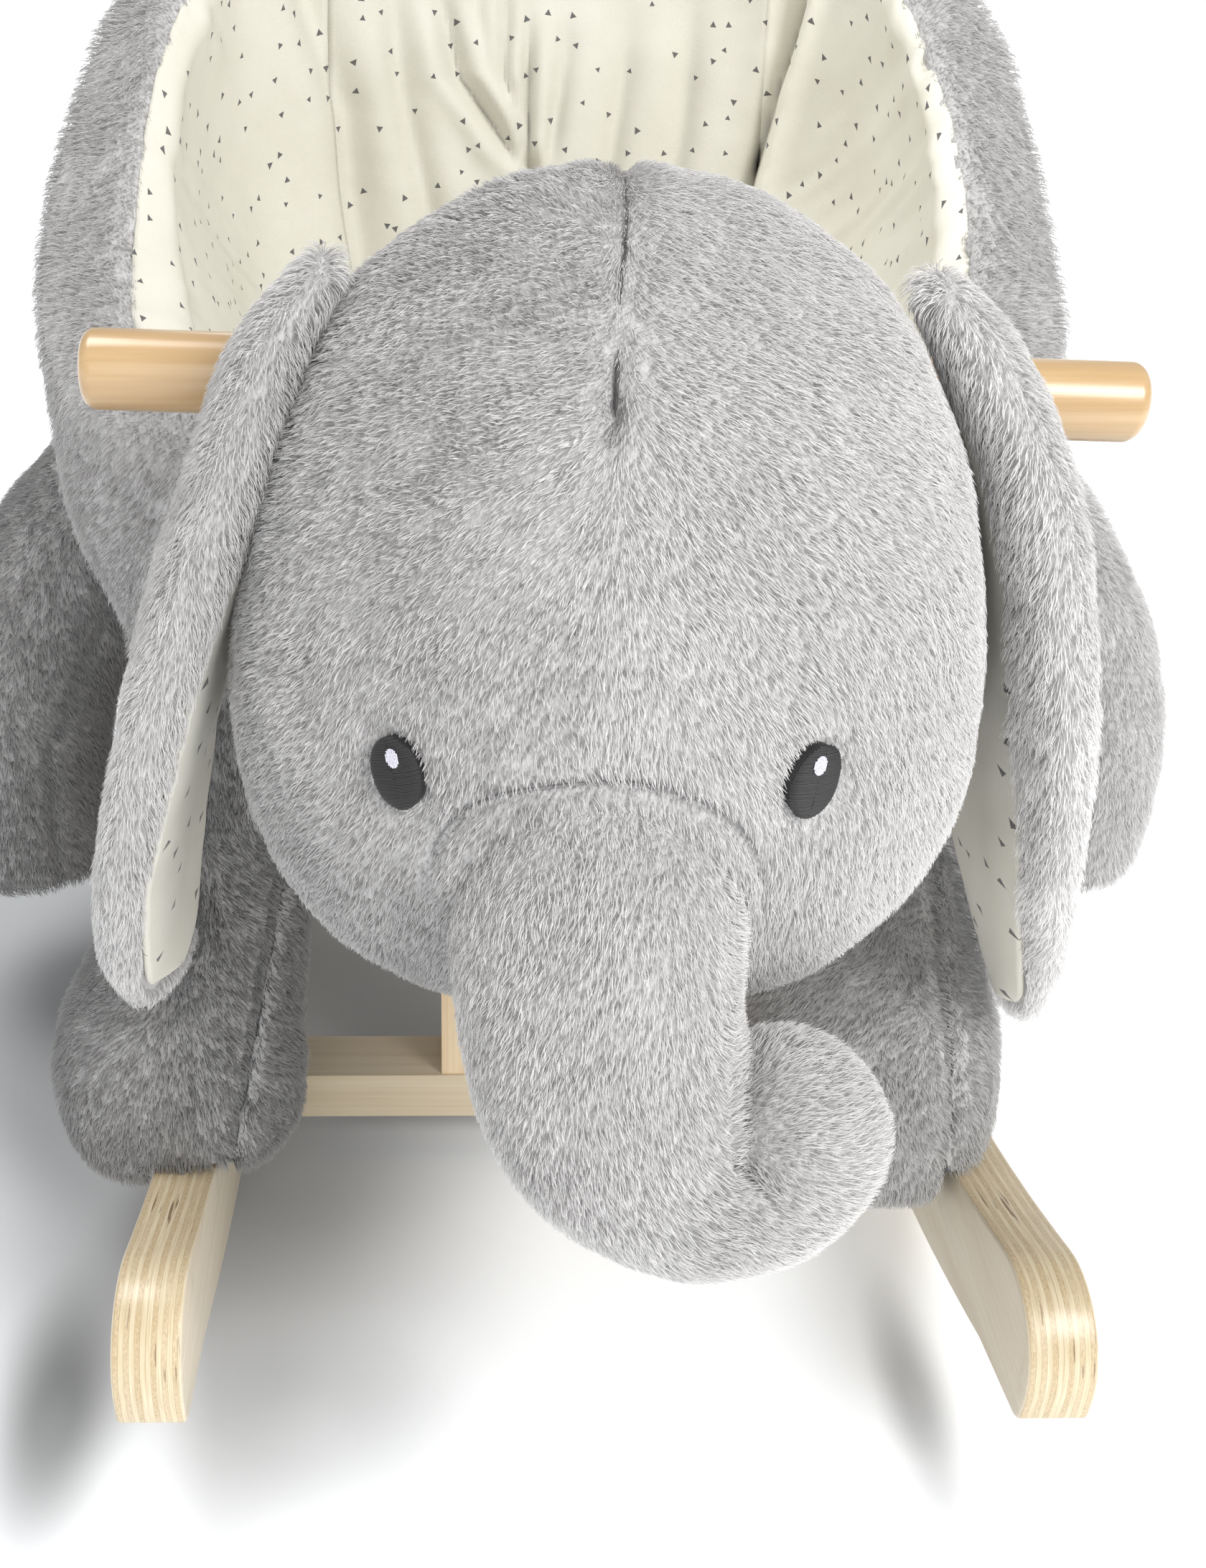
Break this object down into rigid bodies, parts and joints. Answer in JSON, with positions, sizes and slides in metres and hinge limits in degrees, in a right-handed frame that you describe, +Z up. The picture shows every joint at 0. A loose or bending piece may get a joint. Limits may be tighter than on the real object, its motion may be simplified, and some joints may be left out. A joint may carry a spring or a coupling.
{
  "type": "plush rocking elephant",
  "caption": "Ride-on rocking elephant: plush head with curled trunk and hanging ears, padded bucket seat, wooden handle, stuffed legs, on curved plywood rockers.",
  "frame": {"origin": "on the floor, midway between the rockers, at the lines on which they rest", "axes": "+Z up; the elephant looks along -Y; +X is the rider's left"},
  "size_m": [0.6088, 0.6827, 0.5008],
  "materials": {
    "ply_edge": "satin",
    "pine": "satin",
    "inner_board": "matte",
    "beech": "satin",
    "zinc_steel": "satin",
    "fur": "matte",
    "cotton": "matte",
    "foam": "matte",
    "thread": "satin"
  },
  "bodies": {
    "root": {"back_board": "inner_board", "back_cushion": "foam", "back_lining": "cotton", "base_padding": "foam", "base_screws": "zinc_steel", "belly_cover": "fur", "bolster_left": "foam", "bolster_right": "foam", "chest_cover": "fur", "chest_padding": "foam", "crossbar_barrel_nuts": "zinc_steel", "crossbar_bolts": "zinc_steel", "crossbar_dowels": "pine", "eye_left": "thread", "eye_right": "thread", "flank_cover_left": "fur", "flank_cover_right": "fur", "front_crossbar": "pine", "front_leg_left": "fur", "front_leg_right": "fur", "front_post": "pine", "handle": "beech", "handle_screw": "zinc_steel", "head_cover": "fur", "head_stuffing": "foam", "hind_leg_left": "fur", "hind_leg_right": "fur", "neck_block": "inner_board", "neck_screws": "zinc_steel", "post_screws": "zinc_steel", "rear_crossbar": "pine", "rear_post": "pine", "rocker_left": "ply_edge", "rocker_right": "ply_edge", "rump_cover": "fur", "seat_base_board": "inner_board", "seat_cushion": "foam", "seat_lining": "cotton", "side_board_left": "inner_board", "side_board_right": "inner_board", "trunk": "fur", "wall_screws": "zinc_steel", "wing_lining_left": "cotton", "wing_lining_right": "cotton"},
    "ear_right": {"ear_cover_right": "fur", "ear_lining_right": "cotton"},
    "ear_left": {"ear_cover_left": "fur", "ear_lining_left": "cotton"},
    "tail": {"tail": "fur"}
  },
  "joints": [
    {"name": "ear_right_lift", "type": "hinge", "parent": "root", "child": "ear_right", "pos_m": [-0.0815, -0.203, 0.4315], "axis": [0, 1, 0], "range_deg": [0, 60]},
    {"name": "ear_left_lift", "type": "hinge", "parent": "root", "child": "ear_left", "pos_m": [0.0695, -0.203, 0.4315], "axis": [0, -1, 0], "range_deg": [0, 60]},
    {"name": "tail_swing", "type": "hinge", "parent": "root", "child": "tail", "pos_m": [-0.011, 0.212, 0.296], "axis": [0, 1, 0], "range_deg": [-35, 35]}
  ]
}
